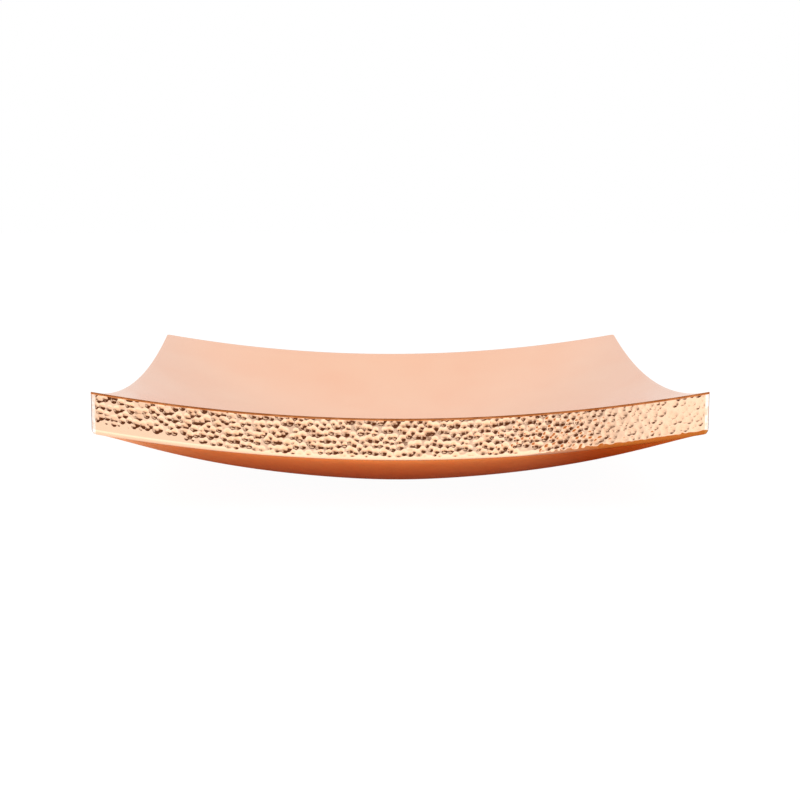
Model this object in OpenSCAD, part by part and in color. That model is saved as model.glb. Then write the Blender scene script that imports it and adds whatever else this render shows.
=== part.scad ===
// Square double-walled copper tray with upswept corners.
// A smooth pressed dish rests on four hammered side bands, which turn under and meet a
// rounded belly with a flat base. Millimetres, +Z up, origin at the middle of the base.

/* [Tray] */
// Width across the outer faces, left to right
tray_w = 400; // [250:1:600]
// Depth across the outer faces, front to back
tray_l = 400; // [250:1:600]
// Height of the corner tips above the table
corner_h = 80; // [66:1:130]
// How far each rim hangs below its corners at mid side
rim_sag = 17.6; // [0:0.2:24]
// Radius of the upright corners
corner_r = 3; // [2.9:0.1:8]

/* [Dish] */
// Height of the dish's floor above the table, at its middle
dish_floor = 8; // [5:0.5:20]
// Thickness of the dish's sheet
dish_t = 1.5; // [0.8:0.1:2]
// Width of the level lip that lies on the bands
lip_w = 2.6; // [2.5:0.1:2.8]

/* [Side bands] */
// Height of a band, from the lip's underside to the belly's seam
band_h = 26.3; // [16:0.1:34]
// Outer radius of the turn at a band's lower edge
turn_r = 5; // [4:0.1:5.5]

/* [Belly] */
// Width of the flat base that stands on the table
base_w = 80; // [50:1:120]
// Thickness of the sheet that the belly and the bands are cut from
shell_t = 1; // [0.8:0.1:1.3]

/* [Brazing] */
// Width of the bead in the angle between dish and band
rim_bead_w = 1.2; // [0.8:0.1:1.2]
// Height of that bead
rim_bead_h = 2; // [1:0.1:4]
// How far the bead over the lower seam reaches onto the belly
seam_bead_w = 1.5; // [1:0.1:2]
// Height of that bead over the seam
seam_bead_h = 2; // [1.6:0.1:2.6]

/* [Hidden] */

polished_copper = "#F4C6AC";
hammered_copper = "#F0BE92";
satin_copper = "#C4703F";
braze_metal = "#CFA66A";

side_steps = 20;      // facets along a straight side
corner_steps = 4;     // facets round an upright corner
turn_steps = 5;       // facets round the turn at a band's lower edge
ring_steps = 16;      // rings of facets from the rim to the middle
ring_crowding = 1.5;  // above 1, rings lie closer together near the rim

turn_angle = 50;      // how far a band's lower edge turns under, from upright
softness = 0.2;       // how round the ridges of the dish and the belly are
belly_fullness = 0.8; // below 1, the belly drops steeply from its seam
dish_fullness = 1;    // 1 gives the dish an even slope from its rim
levelling = 1.25;     // above 1, the middle levels out smoothly
bead_clearance = 0.06; // keeps the seam bead off the belly's facets
base_waste = 8;       // how far the belly would bulge through the table, cut off flat

half_w = tray_w / 2;
half_l = tray_l / 2;
turn_h = turn_r * sin(turn_angle);
turn_in = turn_r * (1 - cos(turn_angle));
tip_u = 1 - corner_r * (1 - sqrt(0.5)) / half_w;
tip_v = 1 - corner_r * (1 - sqrt(0.5)) / half_l;
steps_round = 4 * (side_steps + corner_steps);

// The outline seen from above, anticlockwise from the left end of the front side.
// Each entry is [outer face point, outward direction].
function side_end(quarter) =
    [[half_w - corner_r, -half_l + corner_r], [half_w - corner_r, half_l - corner_r],
     [-half_w + corner_r, half_l - corner_r], [-half_w + corner_r, -half_l + corner_r]][quarter % 4];
function outward(angle) = [cos(angle), sin(angle)];
function side_outline(quarter) =
    let (
        from = side_end(quarter + 3),
        to = side_end(quarter),
        dir = outward(90 * quarter - 90)
    )
    [for (i = [0 : side_steps]) [from + (to - from) * i / side_steps + corner_r * dir, dir]];
function corner_outline(quarter) =
    [for (i = [0 : corner_steps])
        let (dir = outward(90 * quarter - 90 + 90 * i / corner_steps))
        [side_end(quarter) + corner_r * dir, dir]];
function whole_outline() =
    [for (quarter = [0 : 3])
        each concat(
            [for (i = [0 : side_steps - 1]) side_outline(quarter)[i]],
            [for (i = [0 : corner_steps - 1]) corner_outline(quarter)[i]])];

// The outline's point moved inwards by a distance.
function inset(spot, distance) = spot[0] - distance * spot[1];
// The outline's point as shares of the half sizes, from -1 to 1.
function shares(spot) = [spot[0].x / half_w, spot[0].y / half_l];

// Height of the rim's surface carried across the tray, from shares u and v.
function rim_height(u, v) =
    corner_h - rim_sag * (tip_u * tip_u - u * u + tip_v * tip_v - v * v);

// How far a point has gone from edge (0) to middle (1), with rounded ridges.
function ridge(t) =
    (sqrt(t * t + softness * softness) - softness) / (sqrt(1 + softness * softness) - softness);
function depth_share(u, v, flat_share) = (1 - ridge(u)) * (1 - ridge(v)) / (1 - ridge(flat_share));
function filled(depth, fullness) = 1 - pow(1 - pow(min(1, depth), fullness), levelling);

function dish_height(u, v) =
    let (share = filled(depth_share(u, v, 0), dish_fullness))
    rim_height(u, v) * (1 - share) + dish_floor * share;
function belly_depth(u, v) = depth_share(u, v, base_w / min(tray_w, tray_l));
function belly_height(u, v) =
    (rim_height(u, v) - dish_t - band_h) * (1 - filled(belly_depth(u, v), belly_fullness));
function base_bulge(u, v) = base_waste * max(0, belly_depth(u, v) - 1);

function ring_share(ring) = 1 - pow(ring / ring_steps, ring_crowding);

// Height of the bands' upper edge beside an outline point.
function band_top(spot) = rim_height(shares(spot).x, shares(spot).y) - dish_t;

// One outline point of a band's section, from its inset and its drop below the band's top.
function section_point(spot, step) =
    let (place = inset(spot, step[0]))
    [place.x, place.y, band_top(spot) - step[1]];
function turn_points(radius) =
    [for (i = [0 : turn_steps])
        let (angle = turn_angle * i / turn_steps)
        [turn_r - radius * cos(angle), band_h - turn_h + radius * sin(angle)]];
function backwards(list) = [for (i = [len(list) - 1 : -1 : 0]) list[i]];
band_section = concat(
    [[0, 0]], turn_points(turn_r),
    backwards(turn_points(turn_r - shell_t)), [[shell_t, 0]]);

// A solid through a row of sections that all have the same number of points. An open row's
// sections run down one face and back up the other, so each end closes with a strip.
module swept(sections, closed = false) {
    points = [for (section = sections) each section];
    count = len(sections[0]);
    rows = len(sections);
    last = closed ? rows - 1 : rows - 2;
    walls = [for (row = [0 : last], i = [0 : count - 1])
        let (
            a = row * count + i,
            b = row * count + (i + 1) % count,
            c = (row + 1) % rows * count + (i + 1) % count,
            d = (row + 1) % rows * count + i
        )
        each [[a, b, c], [a, c, d]]];
    final = (rows - 1) * count;
    ends = closed ? [] : [for (i = [0 : count / 2 - 2])
        let (a = i, b = i + 1, c = count - 2 - i, d = count - 1 - i)
        each [[c, b, a], [d, c, a],
            [final + a, final + b, final + c], [final + a, final + c, final + d]]];
    polyhedron(points = points, faces = concat(walls, ends), convexity = 6);
}

// A sheet between two stacks of rings, each running from its rim to its middle point.
module sheet(upper_rings, lower_rings, upper_middle, lower_middle) {
    count = steps_round;
    stack = len(upper_rings);
    points = concat(
        [for (ring = upper_rings) each ring], [upper_middle],
        [for (ring = lower_rings) each ring], [lower_middle]);
    upper_mid = stack * count;
    lower = upper_mid + 1;
    lower_mid = lower + stack * count;
    faces = [for (i = [0 : count - 1])
        let (next = (i + 1) % count, inner = (stack - 1) * count)
        each concat(
            [[i, lower + i, lower + next], [i, lower + next, next]],
            [[inner + next, upper_mid, inner + i]],
            [[lower + inner + i, lower_mid, lower + inner + next]],
            [for (ring = [0 : stack - 2])
                let (
                    a = ring * count + i,
                    b = ring * count + next,
                    c = (ring + 1) * count + next,
                    d = (ring + 1) * count + i
                )
                each [
                    [a, b, c], [a, c, d],
                    [lower + c, lower + b, lower + a], [lower + d, lower + c, lower + a]]])];
    polyhedron(points = points, faces = faces, convexity = 8);
}

// The pressed dish: a level lip at the rim, then one smooth hollow.
module dish() {
    outline = whole_outline();
    function lip_ring(distance, drop) =
        [for (spot = outline) [inset(spot, distance).x, inset(spot, distance).y,
            rim_height(shares(spot).x, shares(spot).y) - drop]];
    function hollow_ring(share, drop) =
        [for (spot = outline)
            let (place = share * inset(spot, lip_w), part = share * shares(spot))
            [place.x, place.y, dish_height(part.x, part.y) - drop]];
    function rings(drop) = concat(
        [lip_ring(0, drop), lip_ring(lip_w, drop)],
        [for (ring = [1 : ring_steps - 1]) hollow_ring(ring_share(ring), drop)]);
    color(polished_copper)
        sheet(rings(0), rings(dish_t), [0, 0, dish_floor], [0, 0, dish_floor - dish_t]);
}

// The strip of hammered sheet along one side, with its lower edge turned under.
module band(quarter) {
    color(hammered_copper)
        swept([for (spot = side_outline(quarter))
            [for (step = band_section) section_point(spot, step)]]);
}

// The brazed and filed post between two bands.
module corner(quarter) {
    color(polished_copper)
        swept([for (spot = corner_outline(quarter))
            [for (step = band_section) section_point(spot, step)]]);
}

// The underside, butted to the bands' lower edges and flat where it stands.
module belly() {
    outline = whole_outline();
    function seam_ring(depth) =
        [for (spot = outline)
            section_point(spot, [turn_in + depth * cos(turn_angle), band_h - depth * sin(turn_angle)])];
    function bowl_ring(share, rise, bulging) =
        [for (spot = outline)
            let (place = share * inset(spot, turn_in), part = share * shares(spot))
            [place.x, place.y,
                belly_height(part.x, part.y) + rise - bulging * base_bulge(part.x, part.y)]];
    function rings(depth, bulging) = concat(
        [seam_ring(depth)],
        [for (ring = [1 : ring_steps - 1]) bowl_ring(ring_share(ring), depth, bulging)]);
    color(satin_copper)
        difference() {
            sheet(rings(shell_t, 0), rings(0, 1), [0, 0, shell_t], [0, 0, -base_bulge(0, 0)]);
            translate([-base_w, -base_w, -2 * base_waste])
                cube([2 * base_w, 2 * base_w, 2 * base_waste]);
        }
}

// The bead of braze in the angle between the lip and the bands' inner faces.
module rim_bead() {
    section = [[shell_t, 0], [shell_t, rim_bead_h], [shell_t + rim_bead_w, 0]];
    color(braze_metal)
        swept([for (spot = whole_outline())
            [for (step = section) section_point(spot, step)]], closed = true);
}

// The bead of braze over the inside of the seam between the bands and the belly.
module seam_bead() {
    inner_turn = turn_points(turn_r - shell_t);
    seam = inner_turn[turn_steps];
    color(braze_metal)
        swept([for (spot = whole_outline())
            let (
                bare = section_point(spot, seam),
                upper = section_point(spot, inner_turn[turn_steps - 2]),
                next = inset(spot, turn_in) * ring_share(1),
                part = ring_share(1) * shares(spot),
                beyond = [next.x, next.y, belly_height(part.x, part.y) + shell_t],
                along = (beyond - bare) / norm(beyond - bare),
                middle = section_point(spot, inner_turn[turn_steps - 1])
            )
            [upper, middle, bare, bare + seam_bead_w * along + [0, 0, bead_clearance],
                bare + [0, 0, seam_bead_h]]],
            closed = true);
}

dish();
band(0);  // front_band
band(1);  // right_band
band(2);  // back_band
band(3);  // left_band
corner(0);  // front_right_corner
corner(1);  // back_right_corner
corner(2);  // back_left_corner
corner(3);  // front_left_corner
belly();
rim_bead();
seam_bead();
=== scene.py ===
"""Looks of a square double-walled copper tray: smooth dish, hammered side bands, satin belly."""

import math

import bpy
import numpy as np
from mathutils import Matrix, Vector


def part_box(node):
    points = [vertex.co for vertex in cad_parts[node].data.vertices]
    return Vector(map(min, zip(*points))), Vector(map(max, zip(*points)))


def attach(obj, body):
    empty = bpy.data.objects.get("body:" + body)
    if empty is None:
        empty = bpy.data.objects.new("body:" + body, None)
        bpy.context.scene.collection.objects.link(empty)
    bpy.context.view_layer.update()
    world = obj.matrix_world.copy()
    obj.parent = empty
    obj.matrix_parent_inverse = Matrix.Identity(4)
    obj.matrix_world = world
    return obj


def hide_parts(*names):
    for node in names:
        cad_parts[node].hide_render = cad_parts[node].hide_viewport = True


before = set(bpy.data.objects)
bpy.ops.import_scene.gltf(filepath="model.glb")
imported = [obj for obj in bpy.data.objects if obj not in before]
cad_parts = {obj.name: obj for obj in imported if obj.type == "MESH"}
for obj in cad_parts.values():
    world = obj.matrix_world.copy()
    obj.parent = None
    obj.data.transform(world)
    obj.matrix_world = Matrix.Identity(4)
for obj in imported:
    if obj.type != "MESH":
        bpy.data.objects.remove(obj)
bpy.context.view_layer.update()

bl_info = {
    "name": "Hammered copper tray",
    "version": (1, 0, 0),
    "blender": (4, 5, 0),
    "location": "View3D > Sidebar > Tray",
    "description": "Models and finishes a square hammered copper tray and its studio",
    "category": "Object",
}

MM = 0.001
BODY = "root"
SIDES = ("front", "right", "back", "left")
CORNERS = ("front_right", "back_right", "back_left", "front_left")

dish_low, dish_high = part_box("dish")
post_low, post_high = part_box("front_right_corner")
TRAY_W = (dish_high.x - dish_low.x) / MM
TRAY_L = (dish_high.y - dish_low.y) / MM
CORNER_H = dish_high.z / MM
CORNER_R = (post_high.x - post_low.x) / MM
SEAM_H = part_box("belly")[1].z


# ---------------------------------------------------------------- settings


class TrayShape(bpy.types.PropertyGroup):
    """Sizes of the tray, the same as those of the solids it stands on"""

    tray_w: bpy.props.FloatProperty(
        name="Tray width", description="Width across the outer faces, in mm",
        default=TRAY_W, min=250, max=600)
    tray_l: bpy.props.FloatProperty(
        name="Tray depth", description="Depth across the outer faces, in mm",
        default=TRAY_L, min=250, max=600)
    corner_h: bpy.props.FloatProperty(
        name="Corner height", description="Height of the corner tips above the table, in mm",
        default=CORNER_H, min=66, max=130)
    rim_sag: bpy.props.FloatProperty(
        name="Rim sag", description="How far each rim hangs below its corners, in mm",
        default=17.6, min=0, max=24)
    corner_r: bpy.props.FloatProperty(
        name="Corner radius", description="Radius of the upright corners, in mm",
        default=CORNER_R, min=2, max=8)
    dish_floor: bpy.props.FloatProperty(
        name="Dish floor", description="Height of the dish's floor above the table, in mm",
        default=8.0, min=5, max=20)
    dish_t: bpy.props.FloatProperty(
        name="Dish thickness", description="Thickness of the dish's sheet, in mm",
        default=1.5, min=0.8, max=2)
    lip_w: bpy.props.FloatProperty(
        name="Lip width", description="Width of the level lip on the bands, in mm",
        default=2.6, min=2, max=4)
    band_h: bpy.props.FloatProperty(
        name="Band height", description="From the lip's underside to the belly's seam, in mm",
        default=26.3, min=16, max=34)
    turn_r: bpy.props.FloatProperty(
        name="Turn radius", description="Outer radius of the turn at a band's lower edge, in mm",
        default=5.0, min=3, max=8)
    turn_angle: bpy.props.FloatProperty(
        name="Turn", description="How far a band's lower edge turns under",
        default=math.radians(50), subtype="ANGLE", unit="ROTATION")
    shell_t: bpy.props.FloatProperty(
        name="Shell thickness", description="Thickness of the bands and the belly, in mm",
        default=1.0, min=0.8, max=2)
    base_w: bpy.props.FloatProperty(
        name="Base width", description="Width of the flat base, in mm",
        default=80.0, min=50, max=120)


class TrayHammering(bpy.types.PropertyGroup):
    """The pits that the round-faced hammer leaves in the bands"""

    pitch: bpy.props.FloatProperty(
        name="Spacing", description="Distance from one blow to the next, in mm",
        default=4.5, min=2, max=12)
    pit_w: bpy.props.FloatProperty(
        name="Pit width", description="Width of one full pit, in mm",
        default=5.2, min=1, max=12)
    pit_d: bpy.props.FloatProperty(
        name="Pit depth", description="Depth of one full pit, in mm",
        default=0.68, min=0, max=1)
    mesh_step: bpy.props.FloatProperty(
        name="Mesh step", description="Size of one face of a hammered band, in mm",
        default=0.45, min=0.2, max=2)
    seed: bpy.props.IntProperty(
        name="Seed", description="Another number lays the blows another way", default=7)


def colour_property(name, description, code):
    return bpy.props.StringProperty(name=name, description=description, default=code)


class TrayFinish(bpy.types.PropertyGroup):
    """Colours of the copper, as sRGB hex values"""

    polished: colour_property("Polished copper", "The dish's and the posts' bright metal", "#FACCB0")
    polished_warm: colour_property("Polished copper, warmer", "Where polishing heat warmed it", "#F8BFA0")
    # ridge and pit are lit and shaded copies: the pit colour is painted shade, darker and redder in the
    # hollows
    ridge: colour_property("Hammered copper, ridges", "Between the blows, polished brightest", "#F9D0B0")
    pit: colour_property("Hammered copper, pits", "At the bottom of a pit", "#F3BC94")
    # the corner colour is a painted highlight, nearly white where the rounded posts catch the light
    corner: colour_property("Brazed corners", "Polished braze along the upright corners", "#FFF2E8")
    # the seam colour is painted shade: the dark that the posts' sides reflect where they turn away
    seam: colour_property("Corner seams", "Oxide left along the posts' side seams", "#8A4A28")
    edge: colour_property("Cut edge", "The dish's sawn and filed edge", "#F09C60")
    edge_dark: colour_property("Cut edge, dark", "Oxide left in the file marks", "#C87438")
    satin: colour_property("Satin copper", "The belly near its seam", "#FFAD65")
    # the dark satin colour is painted shade towards the base
    satin_shaded: colour_property("Satin copper, dark", "The belly towards its base", "#DE711E")
    braze: colour_property("Braze", "The filler metal in the hidden joints", "#CFA66A")
    floor: colour_property("Floor", "Matt white paper", "#F2F2F2")
    floor_seen: colour_property("Floor, as seen", "How much of the shadow shows", "#565656")
    floor_under: colour_property("Floor, under the tray", "The warm shade at its right", "#D9954E")
    room: colour_property("Room", "What stands in shadow beyond the lights", "#63402A")


def linear(code):
    """An sRGB hex colour as linear red, green, blue and alpha."""
    parts = [int(code[i:i + 2], 16) / 255 for i in (1, 3, 5)]
    return [p / 12.92 if p <= 0.04045 else ((p + 0.055) / 1.055) ** 2.4 for p in parts] + [1.0]


# ---------------------------------------------------------------- the tray's surfaces, in mm

SOFTNESS = 0.2
LEVELLING = 1.25
BELLY_FULLNESS = 0.8
DISH_FULLNESS = 1.0


def rim_height(shape, u, v):
    """Height of the rim's surface carried across the tray, from shares u and v."""
    tip_u = 1 - shape.corner_r * (1 - math.sqrt(0.5)) / (shape.tray_w / 2)
    tip_v = 1 - shape.corner_r * (1 - math.sqrt(0.5)) / (shape.tray_l / 2)
    return shape.corner_h - shape.rim_sag * (tip_u ** 2 - u ** 2 + tip_v ** 2 - v ** 2)


def ridge(t):
    return (np.sqrt(t * t + SOFTNESS ** 2) - SOFTNESS) / (math.sqrt(1 + SOFTNESS ** 2) - SOFTNESS)


def filled(u, v, fullness, flat_share):
    """How far a place has sunk from the rim (0) to the middle (1)."""
    depth = (1 - ridge(u)) * (1 - ridge(v)) / (1 - ridge(flat_share))
    return 1 - (1 - np.clip(depth, 0, 1) ** fullness) ** LEVELLING


def belly_height(shape, u, v):
    share = filled(u, v, BELLY_FULLNESS, shape.base_w / min(shape.tray_w, shape.tray_l))
    return (rim_height(shape, u, v) - shape.dish_t - shape.band_h) * (1 - share)


def round_corners(x, y, half_w, half_l, radius):
    """Moves the points of a square's corner cells onto rounded corners."""
    dx, dy = np.abs(x) - (half_w - radius), np.abs(y) - (half_l - radius)
    inside = (dx > 0) & (dy > 0)
    reach = np.maximum(dx, dy)
    length = np.where(inside, np.hypot(dx, dy), 1.0)
    x = np.where(inside, np.sign(x) * (half_w - radius + dx * reach / length), x)
    y = np.where(inside, np.sign(y) * (half_l - radius + dy * reach / length), y)
    return x, y


# ---------------------------------------------------------------- modelling helpers


def alone(obj):
    """Selects one object and nothing else."""
    bpy.ops.object.select_all(action="DESELECT")
    obj.select_set(True)
    bpy.context.view_layer.objects.active = obj


def blank_sheet(name, columns, rows):
    """A flat grid of faces, ready to be pressed; its size is 1 by 1."""
    bpy.ops.object.select_all(action="DESELECT")
    bpy.ops.mesh.primitive_grid_add(x_subdivisions=columns, y_subdivisions=rows, size=1)
    obj = bpy.context.object
    obj.name = name
    obj.data.name = name
    return obj


def press(obj, form, mark=None):
    """Presses a blank sheet: form takes the shares across and up it and gives x, y, z in mm. Where
    mark names an attribute, form also gives its value at each point."""
    count = len(obj.data.vertices)
    place = np.empty(count * 3, np.float32)
    obj.data.vertices.foreach_get("co", place)
    place = place.reshape(-1, 3).astype(float)
    x, y, z, *values = form(place[:, 0] + 0.5, place[:, 1] + 0.5)
    obj.data.vertices.foreach_set("co", (np.column_stack([x, y, z]) * MM).astype(np.float32).ravel())
    if mark:
        attribute = obj.data.attributes.new(mark, "FLOAT", "POINT")
        attribute.data.foreach_set("value", values[0].astype(np.float32))
    obj.data.update()


def apply_modifier(obj, kind, **settings):
    alone(obj)
    bpy.ops.object.modifier_add(type=kind)
    modifier = obj.modifiers[-1]
    for key, value in settings.items():
        setattr(modifier, key, value)
    bpy.ops.object.modifier_apply(modifier=modifier.name)


def smooth(obj, degrees):
    alone(obj)
    bpy.ops.object.shade_smooth_by_angle(angle=math.radians(degrees))


def edit_whole(obj, operator, **settings):
    """Runs one edit-mode operator on a piece's whole mesh."""
    alone(obj)
    bpy.ops.object.mode_set(mode="EDIT")
    bpy.ops.mesh.select_all(action="SELECT")
    operator(**settings)
    bpy.ops.object.mode_set(mode="OBJECT")


def turn_about_up(obj, quarter):
    """Turns a piece's mesh about the tray's middle by quarter turns."""
    if quarter % 4 == 0:
        return
    edit_whole(obj, bpy.ops.transform.rotate, value=-quarter * math.pi / 2, orient_axis="Z",
               center_override=(0, 0, 0))


def finish_piece(obj, node, materials):
    obj.data.materials.clear()
    for material in materials:
        obj.data.materials.append(material)
    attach(obj, BODY)
    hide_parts(node)


# ---------------------------------------------------------------- materials


def add_node(tree, kind, settings=None, links=None):
    """Adds a node. settings are attributes, or inputs by name or number; links feed its inputs."""
    node = tree.nodes.new(kind)
    for key, value in (settings or {}).items():
        if isinstance(key, str) and hasattr(node, key):
            setattr(node, key, value)
        else:
            node.inputs[key].default_value = value
    for key, source in (links or {}).items():
        tree.links.new(source, node.inputs[key])
    return node


def feed(tree, shader, sources):
    """Links outputs to the shader's inputs."""
    for key, source in sources.items():
        tree.links.new(source, shader.inputs[key])


def new_material(name):
    """An empty material with a Principled shader; returns it, its tree and the shader."""
    material = bpy.data.materials.new(name)
    material.use_nodes = True
    tree = material.node_tree
    tree.nodes.clear()
    shader = add_node(tree, "ShaderNodeBsdfPrincipled", {"Metallic": 1.0})
    add_node(tree, "ShaderNodeOutputMaterial", links={"Surface": shader.outputs[0]})
    return material, tree, shader


def polished_copper(finish):
    """Copper sheet, pressed, sanded and buffed to a satin shine. It gives the eye an even pink
    mirror that is a little blurred, with faint warm clouds and hair-fine buffing lines."""
    material, tree, shader = new_material("buffed_copper_sheet")
    place = add_node(tree, "ShaderNodeTexCoord").outputs["Object"]
    # warm clouds about 60 mm across, left by the heat of the buffing wheel
    clouds = add_node(tree, "ShaderNodeTexNoise", {"Scale": 1 / 0.060, "Detail": 3.0, "Roughness": 0.5},
                      {"Vector": place})
    tint = add_node(tree, "ShaderNodeMix", {"data_type": "RGBA", 6: linear(finish.polished),
                    7: linear(finish.polished_warm)}, {"Factor": clouds.outputs["Fac"]})
    # buffing lines 0.4 mm apart, drawn coarser than real ones so that they show
    stretched = add_node(tree, "ShaderNodeMapping", {"Scale": (0.03, 1.0, 1.0)}, {"Vector": place})
    lines = add_node(tree, "ShaderNodeTexNoise", {"Scale": 1 / 0.0004, "Detail": 2.0},
                     {"Vector": stretched.outputs[0]})
    dull = add_node(tree, "ShaderNodeMapRange", {"To Min": 0.2, "To Max": 0.3},
                    {"Value": clouds.outputs["Fac"]})
    bump = add_node(tree, "ShaderNodeBump", {"Strength": 0.05, "Distance": 0.00002},
                    {"Height": lines.outputs["Fac"]})
    feed(tree, shader, {"Base Color": tint.outputs[2], "Roughness": dull.outputs[0],
         "Normal": bump.outputs[0]})
    return material


def corner_highlight_paint(finish):
    """Copper, filed round and polished, painted a pale, nearly white colour that stands in for the
    highlight the rounded corners catch. It gives the eye a nearly white upright line with soft pink patches
    where the copper shows, and a thin brown painted shade along the seam beside it."""
    material, tree, shader = new_material("corner_painted_highlight")
    place = add_node(tree, "ShaderNodeTexCoord").outputs["Object"]
    # patches 3 mm across, where the painted highlight gives way to the polished copper's own colour
    patches = add_node(tree, "ShaderNodeTexNoise", {"Scale": 1 / 0.003, "Detail": 2.0}, {"Vector": place})
    share = add_node(tree, "ShaderNodeMapRange", {"From Min": 0.45, "From Max": 0.75},
                     {"Value": patches.outputs["Fac"]})
    # painted highlight: the posts are tinted nearly white, with patches of copper
    tint = add_node(tree, "ShaderNodeMix", {"data_type": "RGBA", 6: linear(finish.corner),
                    7: linear(finish.polished)}, {"Factor": share.outputs[0]})
    # painted shade: the front and back strips turn the corner, so the brown seam, standing in for the dark
    # the post reflects where it turns away, lies on the tray's sides
    seam = add_node(tree, "ShaderNodeAttribute", {"attribute_name": "side_turn_shade"})
    tint = add_node(tree, "ShaderNodeMix", {"data_type": "RGBA", 7: linear(finish.seam)},
                    {"Factor": seam.outputs["Fac"], 6: tint.outputs[2]})
    # the painted shade isn't metal, so the seam stays brown where the eye grazes it
    bare = add_node(tree, "ShaderNodeMath", {"operation": "MULTIPLY_ADD", 1: -0.9, 2: 1.0},
                    {0: seam.outputs["Fac"]})
    feed(tree, shader, {"Metallic": bare.outputs[0]})
    dull = add_node(tree, "ShaderNodeMapRange", {"To Min": 0.10, "To Max": 0.2},
                    {"Value": patches.outputs["Fac"]})
    bump = add_node(tree, "ShaderNodeBump", {"Strength": 0.1, "Distance": 0.00003},
                    {"Height": patches.outputs["Fac"]})
    feed(tree, shader, {"Base Color": tint.outputs[2], "Roughness": dull.outputs[0],
         "Normal": bump.outputs[0]})
    return material


def hammered_copper(finish):
    """Copper sheet, struck all over with a round-faced hammer and polished. It gives the eye small bright
    mirrors: each pit shows the whole room, and the ridges between are the brightest, with the pits painted
    darker and redder as shade."""
    material, tree, shader = new_material("hammered_polished_copper")
    place = add_node(tree, "ShaderNodeTexCoord").outputs["Object"]
    depth = add_node(tree, "ShaderNodeAttribute", {"attribute_name": "blow_depth"})
    mottle = add_node(tree, "ShaderNodeTexNoise", {"Scale": 1 / 0.012, "Detail": 2.0}, {"Vector": place})
    worn = add_node(tree, "ShaderNodeMath", {"operation": "MULTIPLY_ADD", 1: 0.5, 2: -0.25},
                    {0: mottle.outputs["Fac"]})
    share = add_node(tree, "ShaderNodeMath", {"operation": "ADD", "use_clamp": True},
                     {0: depth.outputs["Fac"], 1: worn.outputs[0]})
    # painted shade: the pits turn darker and redder as they deepen, with a random mottle
    tint = add_node(tree, "ShaderNodeMix", {"data_type": "RGBA", 6: linear(finish.ridge),
                    7: linear(finish.pit)}, {"Factor": share.outputs[0]})
    dull = add_node(tree, "ShaderNodeMapRange", {"To Min": 0.10, "To Max": 0.16},
                    {"Value": share.outputs[0]})
    # the hammer face's own grain, 0.5 mm across
    grain = add_node(tree, "ShaderNodeTexNoise", {"Scale": 1 / 0.0005, "Detail": 1.0}, {"Vector": place})
    bump = add_node(tree, "ShaderNodeBump", {"Strength": 0.06, "Distance": 0.00004},
                    {"Height": grain.outputs["Fac"]})
    feed(tree, shader, {"Base Color": tint.outputs[2], "Roughness": dull.outputs[0],
         "Normal": bump.outputs[0]})
    return material


def filed_edge(finish):
    """The sheet's sawn edge, filed and left as it is. It gives the eye a darker orange line with
    short file marks."""
    material, tree, shader = new_material("filed_copper_edge")
    place = add_node(tree, "ShaderNodeTexCoord").outputs["Object"]
    # file marks 1 mm apart
    marks = add_node(tree, "ShaderNodeTexNoise", {"Scale": 1 / 0.001, "Detail": 3.0}, {"Vector": place})
    patches = add_node(tree, "ShaderNodeTexNoise", {"Scale": 1 / 0.009, "Detail": 2.0}, {"Vector": place})
    share = add_node(tree, "ShaderNodeMapRange", {"From Min": 0.3, "From Max": 0.7},
                     {"Value": patches.outputs["Fac"]})
    tint = add_node(tree, "ShaderNodeMix", {"data_type": "RGBA", 6: linear(finish.edge),
                    7: linear(finish.edge_dark)}, {"Factor": share.outputs[0]})
    bump = add_node(tree, "ShaderNodeBump", {"Strength": 0.3, "Distance": 0.00006},
                    {"Height": marks.outputs["Fac"]})
    shader.inputs["Roughness"].default_value = 0.38
    feed(tree, shader, {"Base Color": tint.outputs[2], "Normal": bump.outputs[0]})
    return material


def satin_copper(finish):
    """Copper sheet, pressed and left as it came from the sanding belt. It gives the eye a deep orange with
    a soft, broad sheen, painted darker towards the base as shade."""
    material, tree, shader = new_material("satin_copper_sheet")
    place = add_node(tree, "ShaderNodeTexCoord").outputs["Object"]
    apart = add_node(tree, "ShaderNodeSeparateXYZ", links={0: place})
    # painted shade: the belly darkens from its seam down to its base
    low = add_node(tree, "ShaderNodeMapRange", {"From Min": 0.0, "From Max": SEAM_H,
                   "To Min": 1.0, "To Max": 0.0}, {"Value": apart.outputs["Z"]})
    # dull clouds about 25 mm across
    clouds = add_node(tree, "ShaderNodeTexNoise", {"Scale": 1 / 0.025, "Detail": 4.0, "Roughness": 0.6},
                      {"Vector": place})
    worn = add_node(tree, "ShaderNodeMath", {"operation": "MULTIPLY_ADD", 1: 0.5, 2: -0.25},
                    {0: clouds.outputs["Fac"]})
    share = add_node(tree, "ShaderNodeMath", {"operation": "ADD", "use_clamp": True},
                     {0: low.outputs[0], 1: worn.outputs[0]})
    tint = add_node(tree, "ShaderNodeMix", {"data_type": "RGBA", 6: linear(finish.satin),
                    7: linear(finish.satin_shaded)}, {"Factor": share.outputs[0]})
    dull = add_node(tree, "ShaderNodeMapRange", {"To Min": 0.46, "To Max": 0.56},
                    {"Value": clouds.outputs["Fac"]})
    grain = add_node(tree, "ShaderNodeTexNoise", {"Scale": 1 / 0.0006, "Detail": 2.0}, {"Vector": place})
    bump = add_node(tree, "ShaderNodeBump", {"Strength": 0.1, "Distance": 0.00003},
                    {"Height": grain.outputs["Fac"]})
    feed(tree, shader, {"Base Color": tint.outputs[2], "Roughness": dull.outputs[0],
         "Normal": bump.outputs[0]})
    return material


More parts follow.
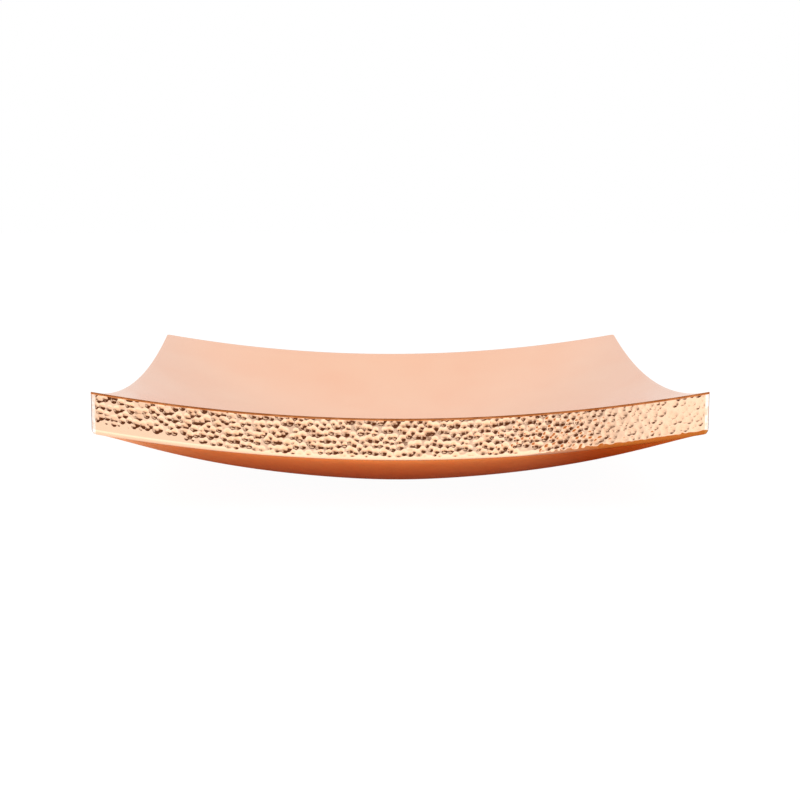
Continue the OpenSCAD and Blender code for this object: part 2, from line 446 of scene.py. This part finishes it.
def braze_metal(finish):
    """Brazing alloy as laid. It gives the eye a rough, yellowish bead with small ripples."""
    material, tree, shader = new_material("braze_bead")
    place = add_node(tree, "ShaderNodeTexCoord").outputs["Object"]
    # ripples 2 mm apart, one for each dab of the rod
    ripples = add_node(tree, "ShaderNodeTexNoise", {"Scale": 1 / 0.002, "Detail": 2.0}, {"Vector": place})
    bump = add_node(tree, "ShaderNodeBump", {"Strength": 0.6, "Distance": 0.0004},
                    {"Height": ripples.outputs["Fac"]})
    shader.inputs["Base Color"].default_value = linear(finish.braze)
    shader.inputs["Roughness"].default_value = 0.45
    feed(tree, shader, {"Normal": bump.outputs[0]})
    return material


def material_named(name, make, finish):
    """A finish is made once and shared by its pieces."""
    return bpy.data.materials.get(name) or make(finish)


# ---------------------------------------------------------------- hammer blows


# The share of a blow's force that is lost towards each side's right end, in the order of SIDES
TIRED = (0.70, 0.35, 0.5, 0.3)
ROW_SHARE = 0.866       # the rows' spacing as a share of the pitch, as in a hexagonal pattern
STRAY_SHARE = 0.30      # how far a blow strays, as a share of the pitch
PIT_WIDTHS = (0.70, 1.18)   # smallest and largest pit, as shares of a full one
PIT_FORCES = (0.62, 1.15)   # weakest and strongest blow, as shares of a full one
LIGHT_BLOWS = 0.04      # one blow in 25 only grazes the sheet
LIGHT_FORCE = 0.25      # and leaves this share of its depth
CREASE = 0.012          # how much the crease between two pits is rounded, in mm
SPARE_BLOWS = 3         # rows and columns of blows beyond a band's edges
BARE_END = 1.6          # the pits fade out over this length beside a post, in mm


def ease(low, high, value):
    """A smooth step from 0 at low to 1 at high."""
    share = np.clip((value - low) / (high - low), 0, 1)
    return share * share * (3 - 2 * share)


def soft_min(a, b, width):
    """The lower of two values, with the crease between them rounded."""
    near = np.clip(0.5 + 0.5 * (b - a) / width, 0, 1)
    return b * (1 - near) + a * near - width * near * (1 - near)


def blow_strength(s, t, length, wall, fade):
    """Whether a blow at (s, t) falls at all and how hard, each from 0 to 1. s runs left to right
    and t down the wall. The smith starts a little gently, tires towards the right end and
    leaves a smooth wedge at the lower left, where the band is held."""
    # shares of the wall's height and of the band's length
    wedge = 0.78 + 0.34 * ease(0.06, 0.30, s / length)
    held = 1 - ease(wedge - 0.10, wedge + 0.06, t / wall)
    tired = 1 - fade * ease(0.70, 0.88, s / length)
    eager = 1 - 0.2 * (1 - ease(0.0, 0.26, s / length))
    return np.clip(held, 0, 1), tired * eager


def hammered(s, t, length, wall, hammering, seed, fade):
    """Depth of the hammered surface below the sheet at (s, t), all in mm."""
    pitch = hammering.pitch
    row_h = pitch * ROW_SHARE
    extra = 2 * SPARE_BLOWS + 2
    columns, rows = int(length / pitch) + extra, int(wall / row_h) + extra
    dice = np.random.RandomState(seed)
    stray = dice.uniform(-1, 1, (columns, rows, 2)) * STRAY_SHARE * pitch
    across = (np.arange(columns)[:, None] - SPARE_BLOWS + 0.5 * (np.arange(rows)[None, :] % 2)) * pitch
    down = (np.arange(rows)[None, :] - SPARE_BLOWS) * row_h + 0 * across
    # the rows wander a little, as they do by hand, in waves about 300 and 110 mm long
    wander = 0.5 * row_h * np.sin(across / 47 + seed) + 0.3 * row_h * np.sin(across / 17 + 2 * seed)
    centre_s = across + stray[..., 0]
    centre_t = down + stray[..., 1] + wander
    size = dice.uniform(*PIT_WIDTHS, (columns, rows))
    force = dice.uniform(*PIT_FORCES, (columns, rows))
    force[dice.uniform(0, 1, (columns, rows)) < LIGHT_BLOWS] *= LIGHT_FORCE
    held, vigour = blow_strength(centre_s, centre_t, length, wall, fade)
    radius = 0.5 * hammering.pit_w * size * (0.35 + 0.65 * held)
    depth = hammering.pit_d * force * held * vigour
    depth[held < 0.03] = 0
    result = np.zeros_like(s)
    column = np.floor(s / pitch).astype(int) + SPARE_BLOWS
    row = np.floor(t / row_h).astype(int) + SPARE_BLOWS
    # only the nearest blows can reach a point
    for dc in range(-2, 4):
        for dr in range(-3, 4):
            c = np.clip(column + dc, 0, columns - 1)
            r = np.clip(row + dr, 0, rows - 1)
            away = (s - centre_s[c, r]) ** 2 + (t - centre_t[c, r]) ** 2
            pit = depth[c, r] * (away / radius[c, r] ** 2 - 1)
            result = soft_min(pit, result, CREASE)
    return np.minimum(result, 0)


def wall_profile(shape, drop_along):
    """A band's outer section: inset and drop at a distance down its outer face, in mm."""
    wall = shape.band_h - shape.turn_r * math.sin(shape.turn_angle)
    angle = np.clip((drop_along - wall) / shape.turn_r, 0, shape.turn_angle)
    inset = shape.turn_r * (1 - np.cos(angle))
    drop = np.minimum(drop_along, wall) + shape.turn_r * np.sin(angle)
    return inset, drop, angle


def outer_length(shape):
    wall = shape.band_h - shape.turn_r * math.sin(shape.turn_angle)
    return wall, wall + shape.turn_r * shape.turn_angle


def back_up(obj, offset):
    """Gives an open hammered face a plain back: its border is pulled in and closed."""
    alone(obj)
    bpy.ops.object.mode_set(mode="EDIT")
    bpy.ops.mesh.select_mode(type="EDGE")
    bpy.ops.mesh.select_all(action="DESELECT")
    bpy.ops.mesh.select_non_manifold(extend=False, use_wire=False, use_boundary=True,
                                     use_multi_face=False, use_non_contiguous=False, use_verts=False)
    bpy.ops.mesh.extrude_edges_move(TRANSFORM_OT_translate={"value": offset})
    bpy.ops.mesh.edge_face_add()
    bpy.ops.mesh.quads_convert_to_tris(quad_method="BEAUTY", ngon_method="BEAUTY")
    bpy.ops.mesh.select_all(action="SELECT")
    bpy.ops.mesh.normals_make_consistent(inside=False)
    bpy.ops.object.mode_set(mode="OBJECT")


# ---------------------------------------------------------------- operators

DISH_CELLS = 176        # faces along a side of the dish, an even number
BELLY_CELLS = 170       # faces along a side of the belly
POST_CELLS = (14, 48)   # faces round a post and up it
FILED = 0.28            # how much the lip's sharp corners are filed off, in mm
SHADE_TURN_START = (0.70, 0.80)    # where a post's painted brown shade begins, as its normal turns to the side


class TRAY_OT_dish(bpy.types.Operator):
    """Press the smooth dish with its level lip"""

    bl_idname = "tray.dish"
    bl_label = "Dish"

    def execute(self, context):
        shape = context.scene.tray_shape
        half_w, half_l = shape.tray_w / 2, shape.tray_l / 2
        cells = DISH_CELLS
        # finer cells beside the rim, where the lip bends into the hollow
        marks = np.array([0, 0.5, 1.1, 1.7, 2.2, 2.6, 3.0, 3.6, 4.6, 6.2, 8.5])
        inner = np.linspace(marks[-1], half_w, cells // 2 - len(marks) + 2)[1:]
        insets = np.concatenate([marks, inner])

        def spread(share, half):
            index = np.rint(share * cells).astype(int)
            mirrored = np.minimum(index, cells - index)
            inset = insets[mirrored] * half / half_w
            return np.where(index <= cells // 2, -half + inset, half - inset)

        def form(a, b):
            x, y = spread(a, half_w), spread(b, half_l)
            u, v = np.clip(x / (half_w - shape.lip_w), -1, 1), np.clip(y / (half_l - shape.lip_w), -1, 1)
            share = filled(u, v, DISH_FULLNESS, 0.0)
            x, y = round_corners(x, y, half_w, half_l, shape.corner_r)
            rim = rim_height(shape, x / half_w, y / half_l)
            return x, y, rim * (1 - share) + shape.dish_floor * share

        dish = blank_sheet("dish_sheet", cells, cells)
        press(dish, form)
        apply_modifier(dish, "SOLIDIFY", thickness=shape.dish_t * MM, offset=-1,
                       use_even_offset=False, material_offset_rim=1)
        # the lip's two sharp corners are eased with a file
        apply_modifier(dish, "BEVEL", width=FILED * MM, segments=2, limit_method="ANGLE",
                       angle_limit=math.radians(50))
        smooth(dish, 38)
        finish = context.scene.tray_finish
        edge = material_named("filed_copper_edge", filed_edge, finish)
        finish_piece(dish, "dish",
                     [material_named("buffed_copper_sheet", polished_copper, finish), edge])
        self.keep_inside(dish, shape)
        return {"FINISHED"}

    @staticmethod
    def keep_inside(dish, shape):
        """The lower face's rim leans out a hair where the lip slopes; it is drawn back in, and the
        rim's faces take the filed edge."""
        # faces this near the tray's outer faces, and less level than this, are the edge's
        near_rim = 0.991
        level = 0.8
        count = len(dish.data.vertices)
        place = np.empty(count * 3, np.float32)
        dish.data.vertices.foreach_get("co", place)
        place = place.reshape(-1, 3)
        place[:, 0] = np.clip(place[:, 0], -shape.tray_w / 2 * MM, shape.tray_w / 2 * MM)
        place[:, 1] = np.clip(place[:, 1], -shape.tray_l / 2 * MM, shape.tray_l / 2 * MM)
        dish.data.vertices.foreach_set("co", place.ravel())
        for face in dish.data.polygons:
            centre = face.center
            outer = max(abs(centre.x) / (shape.tray_w / 2 * MM), abs(centre.y) / (shape.tray_l / 2 * MM))
            face.material_index = int(outer > near_rim and abs(face.normal.z) < level)
        dish.data.update()


class TRAY_OT_bands(bpy.types.Operator):
    """Hammer the four side bands and turn their lower edges under"""

    bl_idname = "tray.bands"
    bl_label = "Side bands"

    def execute(self, context):
        shape = context.scene.tray_shape
        hammering = context.scene.tray_hammering
        finish = context.scene.tray_finish
        wall, total = outer_length(shape)
        for quarter, side in enumerate(SIDES):
            across, deep = shape.tray_w, shape.tray_l
            if quarter % 2:
                across, deep = deep, across
            length = across - 2 * shape.corner_r
            columns = int(length / hammering.mesh_step)
            rows = int(total / hammering.mesh_step)

            def form(a, b):
                s, t = a * length, (1 - b) * total
                inset, drop, angle = wall_profile(shape, t)
                dent = hammered(s, t, length, wall, hammering, hammering.seed + 11 * quarter,
                                TIRED[quarter])
                # the blows stop short of the posts and of the turned edge
                ends = ease(0.0, BARE_END, s) * ease(0.0, BARE_END, length - s)
                clear = ends * (1 - ease(wall + 0.6, wall + 2.8, t))
                dent = dent * clear
                x = s - length / 2
                top = rim_height(shape, x / (across / 2), 1.0) - shape.dish_t
                y = -deep / 2 + inset - dent * np.cos(angle)
                z = top - drop - dent * np.sin(angle)
                return x, y, z, -dent / hammering.pit_d

            band = blank_sheet(side + "_hammered_band", columns, rows)
            press(band, form, "blow_depth")
            back_up(band, (0, shape.shell_t * MM, 0))
            smooth(band, 45)
            turn_about_up(band, quarter)
            finish_piece(band, side + "_band",
                         [material_named("hammered_polished_copper", hammered_copper, finish)])
        return {"FINISHED"}


class TRAY_OT_posts(bpy.types.Operator):
    """File the four brazed corners round and polish them"""

    bl_idname = "tray.posts"
    bl_label = "Corner posts"

    def execute(self, context):
        shape = context.scene.tray_shape
        finish = context.scene.tray_finish
        wall, total = outer_length(shape)
        half_w, half_l = shape.tray_w / 2, shape.tray_l / 2
        for quarter, name in enumerate(CORNERS):
            sx, sy = ((1, -1), (1, 1), (-1, 1), (-1, -1))[quarter]

            def form(a, b):
                inset, drop, angle = wall_profile(shape, (1 - b) * total)
                round_by = a * math.pi / 2 + (quarter - 1) * math.pi / 2
                ex, ey = np.cos(round_by), np.sin(round_by)
                # painted shade: brown along the post's side, where it turns away from the front
                seam = ease(*SHADE_TURN_START, np.abs(ex))
                centre_x, centre_y = sx * (half_w - shape.corner_r), sy * (half_l - shape.corner_r)
                outer_x, outer_y = centre_x + shape.corner_r * ex, centre_y + shape.corner_r * ey
                top = rim_height(shape, outer_x / half_w, outer_y / half_l) - shape.dish_t
                return outer_x - inset * ex, outer_y - inset * ey, top - drop, seam

            post = blank_sheet(name + "_post", *POST_CELLS)
            press(post, form, "side_turn_shade")
            edit_whole(post, bpy.ops.mesh.normals_make_consistent, inside=False)
            self.face_out(post, sx, sy)
            apply_modifier(post, "SOLIDIFY", thickness=shape.shell_t * MM, offset=-1, use_even_offset=False)
            smooth(post, 50)
            finish_piece(post, name + "_corner",
                         [material_named("corner_painted_highlight", corner_highlight_paint, finish)])
        return {"FINISHED"}

    @staticmethod
    def face_out(post, sx, sy):
        """Turns the open face outwards before it gets its thickness."""
        face = post.data.polygons[len(post.data.polygons) // 2]
        if face.normal.x * sx + face.normal.y * sy < 0:
            edit_whole(post, bpy.ops.mesh.flip_normals)


class TRAY_OT_belly(bpy.types.Operator):
    """Press the rounded belly with its flat base"""

    bl_idname = "tray.belly"
    bl_label = "Belly"

    def execute(self, context):
        shape = context.scene.tray_shape
        finish = context.scene.tray_finish
        turn_in = shape.turn_r * (1 - math.cos(shape.turn_angle))
        half_w, half_l = shape.tray_w / 2 - turn_in, shape.tray_l / 2 - turn_in

        def spread(share, half):
            # cells a little closer together near the seam
            t = 2 * share - 1
            return half * (1.12 * t - 0.12 * t ** 3)

        def form(a, b):
            x, y = spread(a, half_w), spread(b, half_l)
            z = belly_height(shape, x / half_w, y / half_l)
            x, y = round_corners(x, y, half_w, half_l, max(shape.corner_r - turn_in, 0.3))
            return x, y, z

        belly = blank_sheet("belly_sheet", BELLY_CELLS, BELLY_CELLS)
        press(belly, form)
        # a pressed sheet faces up, and the belly's outer face is below
        edit_whole(belly, bpy.ops.mesh.flip_normals)
        apply_modifier(belly, "SOLIDIFY", thickness=shape.shell_t * MM, offset=-1, use_even_offset=False)
        smooth(belly, 50)
        finish_piece(belly, "belly",
                     [material_named("satin_copper_sheet", satin_copper, finish)])
        return {"FINISHED"}


class TRAY_OT_beads(bpy.types.Operator):
    """Give the hidden braze beads their metal"""

    bl_idname = "tray.beads"
    bl_label = "Braze beads"

    def execute(self, context):
        metal = material_named("braze_bead", braze_metal, context.scene.tray_finish)
        for name in ("rim_bead", "seam_bead"):
            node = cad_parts[name]
            node.data.materials.clear()
            node.data.materials.append(metal)
        return {"FINISHED"}


# Where the camera stands: shares of the tray's width to its left, in front of it and above its tips
CAMERA_LEFT = 0.05587
CAMERA_BACK = 2.5117
CAMERA_UP = 0.32654
CAMERA_TILT = 7.699     # degrees down from level
CAMERA_LENS = 70.72     # focal length in mm, on a 36 mm sensor
CAMERA_SHIFT = 0.0430   # slides the view sideways without turning the camera

SOFTBOX_PLACE = (0.35, -0.1, 1.6)   # metres
SOFTBOX_SIZE = (1.6, 1.2)           # metres
SOFTBOX_POWER = 2.5                 # watts; most of the light is the tent's
SOFTBOX_TURN = 12                   # degrees

# How brightly the paper glows, where 1 is white
GLOW_SEEN = 0.97        # to the eye
GLOW_NEAR = 0.74        # to the metal, from the paper just round the tray
GLOW_FAR = 0.09         # from the paper further out, in front
GLOW_FAR_LEFT = 0.30    # and on the left
GLOW_FAR_RIGHT = 0.48   # and on the right
SHADE_REACH = 0.14      # how far the tray's shade on the paper reaches out at its right, in m

PANEL_TURN = 22         # degrees that the room's lighter panels are turned from the corners


class TRAY_OT_stage(bpy.types.Operator):
    """Lay the white floor, light the room and set up the camera"""

    bl_idname = "tray.stage"
    bl_label = "Stage"

    def execute(self, context):
        scene = context.scene
        finish = scene.tray_finish
        shape = scene.tray_shape

        bpy.ops.object.select_all(action="DESELECT")
        bpy.ops.mesh.primitive_plane_add(size=12, location=(0, 0, 0))
        floor = context.object
        floor.name = "floor"
        floor.data.materials.append(self.white_paper(finish, shape))

        bpy.ops.object.light_add(type="AREA", location=SOFTBOX_PLACE)
        lamp = context.object
        lamp.name = "overhead_softbox"
        lamp.data.shape = "RECTANGLE"
        lamp.data.size, lamp.data.size_y = SOFTBOX_SIZE
        lamp.data.energy = SOFTBOX_POWER
        lamp.rotation_euler = (0, math.radians(SOFTBOX_TURN), 0)

        scene.world = bpy.data.worlds.new("studio_room")
        scene.world.use_nodes = True
        self.room(scene.world.node_tree, finish)

        bpy.ops.object.camera_add()
        camera = context.object
        camera.name = "camera"
        width = shape.tray_w * MM
        camera.location = (-CAMERA_LEFT * width, -width / 2 - CAMERA_BACK * width,
                           shape.corner_h * MM + CAMERA_UP * width)
        camera.rotation_euler = (math.radians(90 - CAMERA_TILT), 0, 0)
        camera.data.sensor_width = 36
        camera.data.lens = CAMERA_LENS
        camera.data.shift_x = CAMERA_SHIFT
        camera.data.clip_start = 0.01
        scene.camera = camera
        scene.view_settings.view_transform = "Standard"
        return {"FINISHED"}

    @staticmethod
    def white_paper(finish, shape):
        """Matt white paper. It gives the eye a plain white ground with the tray's soft shadow. The
        metal sees it as bright just round the tray and dimmer further out, with the dark room
        beyond it and a warm shade under the tray's right part."""
        material = bpy.data.materials.new("white_paper")
        material.use_nodes = True
        tree = material.node_tree
        tree.nodes.clear()
        place = add_node(tree, "ShaderNodeTexCoord").outputs["Object"]
        path = add_node(tree, "ShaderNodeLightPath")
        fibres = add_node(tree, "ShaderNodeTexNoise", {"Scale": 1 / 0.002}, {"Vector": place})
        bump = add_node(tree, "ShaderNodeBump", {"Strength": 0.02, "Distance": 0.0001},
                        {"Height": fibres.outputs["Fac"]})
        # how far out from the tray's footprint, in metres
        size = add_node(tree, "ShaderNodeVectorMath", {"operation": "ABSOLUTE"}, {0: place})
        apart = add_node(tree, "ShaderNodeSeparateXYZ", links={0: size.outputs[0]})
        out = add_node(tree, "ShaderNodeMath", {"operation": "MAXIMUM"},
                       {0: apart.outputs["X"], 1: apart.outputs["Y"]})
        half = shape.tray_w / 2 * MM
        signed = add_node(tree, "ShaderNodeSeparateXYZ", links={0: place})
        right = add_node(tree, "ShaderNodeMapRange", {"interpolation_type": "SMOOTHSTEP",
                         "From Min": 0.7 * half, "From Max": 1.4 * half}, {"Value": signed.outputs["X"]})
        left = add_node(tree, "ShaderNodeMapRange", {"interpolation_type": "SMOOTHSTEP",
                        "From Min": -0.3 * half, "From Max": -1.0 * half}, {"Value": signed.outputs["X"]})
        # the tray's shade reaches out further at its right
        shady = add_node(tree, "ShaderNodeMapRange", {"interpolation_type": "SMOOTHSTEP",
                         "From Min": 0.4 * half, "From Max": 0.75 * half}, {"Value": signed.outputs["X"]})
        shaded = add_node(tree, "ShaderNodeMath", {"operation": "MULTIPLY_ADD", 1: -SHADE_REACH},
                          {0: shady.outputs[0], 2: out.outputs[0]})
        clear = add_node(tree, "ShaderNodeMapRange", {"interpolation_type": "SMOOTHSTEP",
                         "From Min": half - 0.02, "From Max": half + 0.01, "To Min": 0.1, "To Max": 1.0},
                         {"Value": shaded.outputs[0]})
        # the paper under the tray's right part is in its shade
        covered = add_node(tree, "ShaderNodeMapRange", {"interpolation_type": "SMOOTHSTEP",
                           "From Min": half - 0.02, "From Max": half + 0.01, "To Min": 1.0,
                           "To Max": 0.0}, {"Value": shaded.outputs[0]})
        under = add_node(tree, "ShaderNodeMath", {"operation": "MULTIPLY"},
                         {0: covered.outputs[0], 1: shady.outputs[0]})
        under = add_node(tree, "ShaderNodeMath", {"operation": "MULTIPLY"},
                         {0: under.outputs[0], 1: path.outputs["Is Glossy Ray"]})
        # the metal sees the dark room beyond the paper, straight out from each side
        ends = add_node(tree, "ShaderNodeMapRange", {"interpolation_type": "SMOOTHSTEP",
                        "From Min": half + 0.36, "From Max": half + 0.54}, {"Value": out.outputs[0]})
        aside = add_node(tree, "ShaderNodeMath", {"operation": "MAXIMUM"},
                         {0: right.outputs[0], 1: left.outputs[0]})
        ahead = add_node(tree, "ShaderNodeMath", {"operation": "MULTIPLY_ADD", 1: -1.0, 2: 1.0},
                         {0: aside.outputs[0]})
        past = add_node(tree, "ShaderNodeMath", {"operation": "MULTIPLY"},
                        {0: ahead.outputs[0], 1: ends.outputs[0]})
        past = add_node(tree, "ShaderNodeMath", {"operation": "MULTIPLY"},
                        {0: past.outputs[0], 1: path.outputs["Is Glossy Ray"]})
        ground = add_node(tree, "ShaderNodeMix", {"data_type": "RGBA", 6: linear(finish.floor),
                          7: linear(finish.room)}, {"Factor": past.outputs[0]})
        ground = add_node(tree, "ShaderNodeMix", {"data_type": "RGBA", 7: linear(finish.floor_under)},
                          {"Factor": under.outputs[0], 6: ground.outputs[2]})
        # the eye sees the shadow lightened, as on a bright table
        shade = add_node(tree, "ShaderNodeMix", {"data_type": "RGBA", 7: linear(finish.floor_seen)},
                         {"Factor": path.outputs["Is Camera Ray"], 6: ground.outputs[2]})
        matt = add_node(tree, "ShaderNodeBsdfDiffuse",
                        links={"Color": shade.outputs[2], "Normal": bump.outputs[0]})
        # the glow that the metal sees
        far = add_node(tree, "ShaderNodeMapRange", {"To Min": GLOW_FAR, "To Max": GLOW_FAR_LEFT},
                       {"Value": left.outputs[0]})
        far = add_node(tree, "ShaderNodeMapRange", {"To Max": GLOW_FAR_RIGHT},
                       {"Value": right.outputs[0], "To Min": far.outputs[0]})
        near = add_node(tree, "ShaderNodeMapRange", {"interpolation_type": "SMOOTHSTEP",
                        "From Min": half + 0.07, "From Max": half + 0.24, "To Min": GLOW_NEAR},
                        {"Value": out.outputs[0], "To Max": far.outputs[0]})
        # on the left the paper is dimmer right beside the tray
        beside = add_node(tree, "ShaderNodeMapRange", {"interpolation_type": "SMOOTHSTEP",
                          "From Min": half + 0.03, "From Max": half + 0.09, "To Min": -0.45,
                          "To Max": 0.0}, {"Value": out.outputs[0]})
        dimmer = add_node(tree, "ShaderNodeMath", {"operation": "MULTIPLY_ADD", 2: 1.0},
                          {0: left.outputs[0], 1: beside.outputs[0]})
        bare = add_node(tree, "ShaderNodeMath", {"operation": "MULTIPLY_ADD", 1: -1.0, 2: 1.0},
                        {0: under.outputs[0]})
        bright = clear
        for share in (near, dimmer, bare):
            bright = add_node(tree, "ShaderNodeMath", {"operation": "MULTIPLY"},
                              {0: bright.outputs[0], 1: share.outputs[0]})
        glossy = add_node(tree, "ShaderNodeMath", {"operation": "MULTIPLY"},
                          {0: path.outputs["Is Glossy Ray"], 1: bright.outputs[0]})
        seen = add_node(tree, "ShaderNodeMath", {"operation": "MULTIPLY_ADD", 1: GLOW_SEEN},
                        {0: path.outputs["Is Camera Ray"], 2: glossy.outputs[0]})
        glow = add_node(tree, "ShaderNodeEmission", {"Color": (1, 1, 1, 1)}, {"Strength": seen.outputs[0]})
        both = add_node(tree, "ShaderNodeAddShader", links={0: matt.outputs[0], 1: glow.outputs[0]})
        add_node(tree, "ShaderNodeOutputMaterial", links={"Surface": both.outputs[0]})
        return material

    @staticmethod
    def room(tree, finish):
        """A white tent over a low, dark band of room. Four lighter panels stand in the dark, one
        facing each side, turned a little from its middle, and the dark almost ends at the back."""
        tree.nodes.clear()
        direction = add_node(tree, "ShaderNodeTexCoord").outputs["Generated"]
        apart = add_node(tree, "ShaderNodeSeparateXYZ", links={0: direction})
        turned = add_node(tree, "ShaderNodeMath", {"operation": "ARCTAN2"},
                          {0: apart.outputs["Y"], 1: apart.outputs["X"]})
        fourfold = add_node(tree, "ShaderNodeMath", {"operation": "MULTIPLY_ADD", 1: 4.0,
                            2: math.radians(4 * PANEL_TURN)}, {0: turned.outputs[0]})
        wave = add_node(tree, "ShaderNodeMath", {"operation": "COSINE"}, {0: fourfold.outputs[0]})
        panels = add_node(tree, "ShaderNodeMapRange", {"interpolation_type": "SMOOTHSTEP",
                          "From Min": -1.0, "From Max": -0.6, "To Min": 0.25},
                          {"Value": wave.outputs[0]})
        above = add_node(tree, "ShaderNodeMapRange", {"interpolation_type": "SMOOTHSTEP",
                         "From Min": 0.0, "From Max": 0.04}, {"Value": apart.outputs["Z"]})
        below = add_node(tree, "ShaderNodeMapRange", {"interpolation_type": "SMOOTHSTEP",
                         "From Min": 0.44, "From Max": 0.56, "To Min": 1.0, "To Max": 0.0},
                         {"Value": apart.outputs["Z"]})
        front = add_node(tree, "ShaderNodeMapRange", {"interpolation_type": "SMOOTHSTEP",
                         "From Min": 0.1, "From Max": 0.6, "To Min": 1.0, "To Max": 0.1},
                         {"Value": apart.outputs["Y"]})
        dark = above
        for share in (below, front, panels):
            dark = add_node(tree, "ShaderNodeMath", {"operation": "MULTIPLY"},
                            {0: dark.outputs[0], 1: share.outputs[0]})
        tent = add_node(tree, "ShaderNodeMix", {"data_type": "RGBA", 6: (1, 1, 1, 1),
                        7: linear(finish.room)}, {"Factor": dark.outputs[0]})
        lit = add_node(tree, "ShaderNodeBackground", {"Strength": 1.0}, {"Color": tent.outputs[2]})
        plain = add_node(tree, "ShaderNodeBackground", {"Color": (1, 1, 1, 1), "Strength": 1.0})
        path = add_node(tree, "ShaderNodeLightPath")
        chosen = add_node(tree, "ShaderNodeMixShader", links={0: path.outputs["Is Camera Ray"],
                          1: lit.outputs[0], 2: plain.outputs[0]})
        add_node(tree, "ShaderNodeOutputWorld", links={"Surface": chosen.outputs[0]})


class VIEW3D_PT_tray(bpy.types.Panel):
    """Lists the tray's settings and the steps that make it"""

    bl_label = "Hammered tray"
    bl_space_type = "VIEW_3D"
    bl_region_type = "UI"
    bl_category = "Tray"

    def draw(self, context):
        for group in (context.scene.tray_shape, context.scene.tray_hammering, context.scene.tray_finish):
            box = self.layout.box()
            for name in group.__annotations__:
                box.prop(group, name)
        for operator in STEPS:
            self.layout.operator(operator.bl_idname)


STEPS = (TRAY_OT_dish, TRAY_OT_bands, TRAY_OT_posts, TRAY_OT_belly, TRAY_OT_beads, TRAY_OT_stage)
GROUPS = {"tray_shape": TrayShape, "tray_hammering": TrayHammering, "tray_finish": TrayFinish}


def register():
    for group in (*GROUPS.values(), *STEPS, VIEW3D_PT_tray):
        bpy.utils.register_class(group)
    for name, group in GROUPS.items():
        setattr(bpy.types.Scene, name, bpy.props.PointerProperty(type=group))


def unregister():
    for name in GROUPS:
        delattr(bpy.types.Scene, name)
    for group in reversed((*GROUPS.values(), *STEPS, VIEW3D_PT_tray)):
        bpy.utils.unregister_class(group)


def main():
    register()
    for operator in STEPS:
        getattr(bpy.ops.tray, operator.bl_idname.split(".")[1])()


if __name__ == "__main__":
    main()
